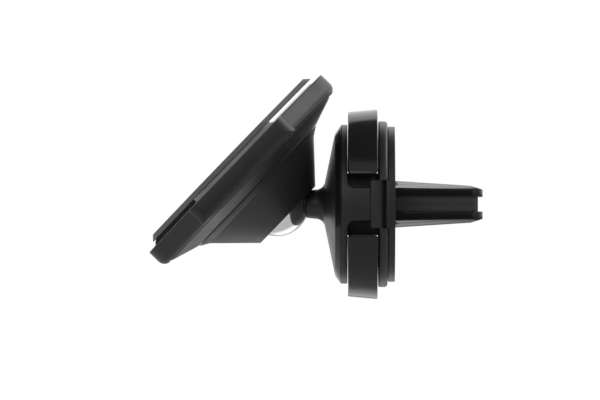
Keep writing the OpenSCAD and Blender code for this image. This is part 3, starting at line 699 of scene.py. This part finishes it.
# %% Finishes
finishes = {
    "pad_rubber": moulded("pad_rubber", (0.1, 0.1, 0.103), 0.6, grain=0.3, depth=0.004, worn=1.2, dust=0.1,
                          specular=0.35, sheen=0.05),
    "jaw_rubber": moulded("jaw_rubber", (0.035, 0.035, 0.037), 0.7, grain=0.3, depth=0.01, worn=1.3,
                          dust=0.12, specular=0.4),
    "satin_black": moulded("satin_black", (0.018, 0.018, 0.019), 0.4, grain=0.16, depth=0.003),
    "gloss_black": moulded("gloss_black", (0.009, 0.009, 0.01), 0.14, grain=0.5, depth=0.0005, specular=0.4,
                           dust=0.06),
    "inner_plastic": moulded("inner_plastic", (0.03, 0.03, 0.032), 0.5, grain=0.25, depth=0.004),
    "polished_metal": metal("polished_metal", (0.85, 0.85, 0.86), 0.1, grain=0.4, depth=0.00002),
    "ball_chrome": metal("ball_chrome", (0.93, 0.93, 0.93), 0.05, base_frame, pitch=0.2, depth=0.0001),
    "steel": metal("steel", (0.45, 0.45, 0.46), 0.36, grain=0.3, depth=0.001),
    "spring_steel": metal("spring_steel", (0.3, 0.3, 0.31), 0.3, grain=0.12, depth=0.001),
    "magnet_nickel": metal("magnet_nickel", (0.6, 0.59, 0.56), 0.22, grain=0.4, depth=0.001),
}
print("finishes:", sorted(finishes))

# %% [markdown]
# ## Screws and magnets
#
# Four screws hold the tray to the housing, three hold the spring plate and two hold the back cover.
# Sixteen arc magnets lie under the face. Each set is one run of the repeating tree.

# %% Screws and magnets
def repeated(name, part, count, first_angle, place, node, body, slot):
    """Repeats a part round an axis, removes the pattern part and books the result."""
    piece = grow(name, round_tree, place, Part=part, Count=count, First_Angle=math.radians(first_angle),
                 Finish=finishes[slot])
    bpy.data.objects.remove(part)
    return dress(piece, node, body, slot)


repeated("tray_screw_set", cross_screw("tray_screw", 1.7, 10.7, 11.45, 0.9, 5.2, 16.6), 4, 45, head_frame,
         "tray_screws", "head", "steel")
repeated("plate_screw_set", cross_screw("plate_screw", 1.4, 9.4, 10.1, 0.8, 4.1, 12.35), 3, 60, head_frame,
         "plate_screws", "head", "steel")
repeated("body_screw_set", cross_screw("body_screw", 2.1, -1.24, -0.15, 1.1, -10.25, 17.2), 2, 90, base_frame,
         "body_screws", "base", "steel")

magnet_count, magnet_edge = 16, 1.6
magnet_step = 360 / magnet_count
magnet_out_r, magnet_in_r = 27.1, 23.1
arc_angles = [magnet_edge / 2 + (magnet_step - magnet_edge) * k / 10 for k in range(11)]
magnet_plan = [(magnet_out_r * math.cos(math.radians(a)), magnet_out_r * math.sin(math.radians(a)))
               for a in arc_angles]
magnet_plan += [(magnet_in_r * math.cos(math.radians(a)), magnet_in_r * math.sin(math.radians(a)))
                for a in arc_angles[::-1]]
magnet = soften(prism("arc_magnet", magnet_plan, 12.95, 15.05, Matrix.Identity(4)), 0.15, steps=2)
repeated("ring_magnet_set", magnet, magnet_count, -magnet_edge / 2, head_frame,
         "ring_magnets", "head", "magnet_nickel")

# %% [markdown]
# ## Return springs
#
# Four small coil springs push the buttons out again. A spiral curve with a round wire section is exactly
# what Geometry Nodes are for, and the wire, the turns and the length stay named inputs.

# %% Springs
spring_tree, given, result = tree_of("GeometryNodeTree", "coil_spring", [
    ("Turns", "NodeSocketFloat", 6.0), ("Coil Radius", "NodeSocketFloat", 0.0013),
    ("Wire Radius", "NodeSocketFloat", 0.00025), ("Length", "NodeSocketFloat", 0.0086),
    ("Finish", "NodeSocketMaterial", None)], [("Geometry", "NodeSocketGeometry")])
helix = add(spring_tree, "GeometryNodeCurveSpiral", Resolution=36, Rotations=given["Turns"],
            Start_Radius=given["Coil Radius"], End_Radius=given["Coil Radius"], Height=given["Length"])
wire = add(spring_tree, "GeometryNodeCurvePrimitiveCircle", Resolution=14, Radius=given["Wire Radius"])
tube = add(spring_tree, "GeometryNodeCurveToMesh", Curve=helix.outputs[0], Profile_Curve=wire.outputs[0],
           Fill_Caps=True)
real = add(spring_tree, "GeometryNodeRealizeInstances", Geometry=tube.outputs[0])
finished = add(spring_tree, "GeometryNodeSetMaterial", Geometry=real.outputs[0], Material=given["Finish"])
spring_tree.links.new(finished.outputs[0], result.inputs[0])


def coil(name, low, high, y):
    """One spring between two heights, in millimetres, on the springs' plane."""
    spring_x = -8.4
    place = Matrix.Translation((spring_x * MM, y * MM, low * MM))
    return grow(name, spring_tree, place, Length=(high - low) * MM, Finish=finishes["spring_steel"])


def joined(name, pieces):
    """Several pieces in one mesh, with their outsides out."""
    work = bmesh.new()
    for piece in pieces:
        work.from_mesh(piece.data)
        bpy.data.objects.remove(piece)
    bmesh.ops.recalc_face_normals(work, faces=work.faces)
    return keep(name, work)


spring_fixed, spring_free, spring_apart, spring_kept = 4.6, 13.2, 14.0, 0.652
for name, sign in (("upper", 1), ("lower", -1)):
    ends = sorted((sign * spring_fixed, sign * spring_free))
    pair = joined(f"{name}_spring_pair", [coil("spring", *ends, y) for y in (-spring_apart, spring_apart)])
    pair.data.materials.append(finishes["spring_steel"])
    dress(pair, f"{name}_springs", "base", "spring_steel")
    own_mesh(pair)

# %% [markdown]
# ## Putting the finishes on
#
# Every piece takes the finish of its slot. The hidden CAD parts that stay as they are, such as the
# pressure cup and the nut, get theirs too, from a table given here.

# %% Finishes on pieces and on the CAD parts that stay
inner = {"magnet_carrier": "inner_plastic", "shield_plate": "steel", "spring_plate": "steel",
         "spring_washer": "spring_steel", "pressure_cup": "inner_plastic", "stud_washer": "steel",
         "stud_nut": "steel"}
for piece in dressed.values():
    piece.data.materials.clear()
    piece.data.materials.append(finishes[piece["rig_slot"]])
for node, slot in inner.items():
    nodes[node].data.materials.clear()
    nodes[node].data.materials.append(finishes[slot])
print(len(dressed), "pieces made here,", len(inner), "CAD parts kept")

# %% [markdown]
# ## Room and light
#
# The object hangs in a white room over a pale floor. Black plastic shows mostly what it mirrors, so the
# room is what draws its shape: a bright wall behind, a softer one in front with a dark disc on the view's
# axis, and a dark ceiling with one bright panel above the base. Seen directly, the room and the floor are
# plain white. In reflections and in the light it throws, the floor glows, with a painted round patch of
# light behind the object and a brighter painted patch far to the left.

# %% Floor, room and lights
world = bpy.data.worlds.new("studio")
bpy.context.scene.world = world
world.use_nodes = True
tree = world.node_tree
tree.nodes.clear()
outwards = tree.nodes.new("ShaderNodeTexCoord").outputs["Generated"]
direction = add(tree, "ShaderNodeSeparateXYZ", None, [outwards])


def patch(toward, inner, outer):
    """1 within inner degrees of a direction, and 0 beyond outer degrees."""
    near = add(tree, "ShaderNodeVectorMath", {"operation": "DOT_PRODUCT"},
               [outwards, Vector(toward).normalized()])
    edge_outer, edge_inner = math.cos(math.radians(outer)), math.cos(math.radians(inner))
    return value_map(tree, near.outputs["Value"], edge_outer, edge_inner)


def sum_of(tree, a, b, factor=1.0):
    return add(tree, "ShaderNodeMath", {"operation": "MULTIPLY_ADD"}, [b, factor, a]).outputs[0]


def product(tree, a, b):
    return add(tree, "ShaderNodeMath", {"operation": "MULTIPLY"}, [a, b]).outputs[0]


behind = value_map(tree, direction.outputs["Y"], -0.15, 0.25)
below_top = value_map(tree, direction.outputs["Z"], 0.83, 0.775)
back_wall = value_map(tree, direction.outputs["Z"], 0.2, 0.6, 1.2, 1.5)
front_wall = product(tree, value_map(tree, direction.outputs["Z"], -0.1, 0.05, 0.3, 0.6),
                     value_map(tree, patch((0, -1, 0), 10, 22), 0.0, 1.0, 1.0, 0.15))
walls = sum_of(tree, product(tree, front_wall, value_map(tree, behind, 0.0, 1.0, 1.0, 0.0)),
               product(tree, back_wall, behind))
glow = sum_of(tree, product(tree, walls, below_top), value_map(tree, below_top, 0.0, 1.0, 0.1, 0.0))
glow = product(tree, glow, value_map(tree, patch((-0.80, 0.575, 0.17), 13, 17), 0.0, 1.0, 1.0, 0.01))
glow = sum_of(tree, glow, patch((0.69, 0.0, 0.72), 18, 26), 2.0)
room = add(tree, "ShaderNodeBackground", Color=(1, 1, 1, 1), Strength=glow)
white = add(tree, "ShaderNodeBackground", Color=(1, 1, 1, 1), Strength=1.0)
seen = add(tree, "ShaderNodeLightPath")
mixed = add(tree, "ShaderNodeMixShader", None,
            [seen.outputs["Is Camera Ray"], room.outputs[0], white.outputs[0]])
add(tree, "ShaderNodeOutputWorld", Surface=mixed.outputs[0])

floor_drop, floor_front, floor_wide = -0.06, -0.11, 1.5
work = bmesh.new()
corners = [(-floor_wide, floor_front), (floor_wide, floor_front), (floor_wide, 2 * floor_wide),
           (-floor_wide, 2 * floor_wide)]
work.faces.new([work.verts.new((x, y, floor_drop)) for x, y in corners])
floor = keep("floor", work)
painted_light_floor = bpy.data.materials.new("pale_floor")
painted_light_floor.use_nodes = True
tree = painted_light_floor.node_tree
tree.nodes.clear()
away = add(tree, "ShaderNodeSeparateXYZ", None, [tree.nodes.new("ShaderNodeTexCoord").outputs["Object"]])
spot = add(tree, "ShaderNodeVectorMath", {"operation": "DISTANCE"},
           [tree.nodes.new("ShaderNodeTexCoord").outputs["Object"], (-0.005, 0.058, floor_drop)])
# Painted light on the floor, seen only in reflections and in the light it throws: a round bright patch behind
# the object.
painted_light_pool = value_map(tree, spot.outputs["Value"], 0.045, 0.028, 0.0, 0.65)
# Painted light: a brighter patch on the floor far to the left and behind, seen only in reflections and in the
# light it throws.
painted_light_far_left = product(tree, value_map(tree, away.outputs["X"], -0.05, -0.1),
                   value_map(tree, away.outputs["Y"], 0.12, 0.18, 0.0, 0.65))
# The floor's glow for every ray but the camera's: an even half strength plus the two painted patches of light.
painted_floor_glow = add(tree, "ShaderNodeEmission", Color=(1, 1, 1, 1),
           Strength=sum_of(tree, sum_of(tree, painted_light_pool, painted_light_far_left), 0.5))
bright = add(tree, "ShaderNodeEmission", Color=(1, 1, 1, 1), Strength=1.0)
seen = add(tree, "ShaderNodeLightPath")
mixed = add(tree, "ShaderNodeMixShader", None,
            [seen.outputs["Is Camera Ray"], painted_floor_glow.outputs[0], bright.outputs[0]])
add(tree, "ShaderNodeOutputMaterial", Surface=mixed.outputs[0])
floor.data.materials.append(painted_light_floor)


def soft_light(name, place, aim, size, watts):
    """A square area light that points at a place, in metres."""
    light = bpy.data.lights.new(name, "AREA")
    light.energy = watts
    light.size = size
    lamp = bpy.data.objects.new(name, light)
    lamp.location = place
    lamp.rotation_euler = (Vector(aim) - Vector(place)).to_track_quat("-Z", "Y").to_euler()
    bpy.context.scene.collection.objects.link(lamp)
    return lamp


soft_light("front_fill", (-0.5, -1.2, 0.5), (0, 0, 0), 0.5, 1.0)

# %% [markdown]
# ## Camera
#
# The view is square from the side, with a long lens from two and a half metres away, so that circles seen
# edge on stay thin and straight edges stay straight.

# %% Camera
lens_length = 564.8
camera_place = (-0.02513, -2.5, 0.00112)
camera_data = bpy.data.cameras.new("side_view")
camera_data.sensor_width = 36
camera_data.lens = lens_length
camera_data.clip_start = 0.01
camera = bpy.data.objects.new("side_view", camera_data)
camera.location = camera_place
camera.rotation_euler = (math.radians(90), 0, 0)
bpy.context.scene.collection.objects.link(camera)
bpy.context.scene.camera = camera
bpy.context.scene.view_settings.view_transform = "Standard"
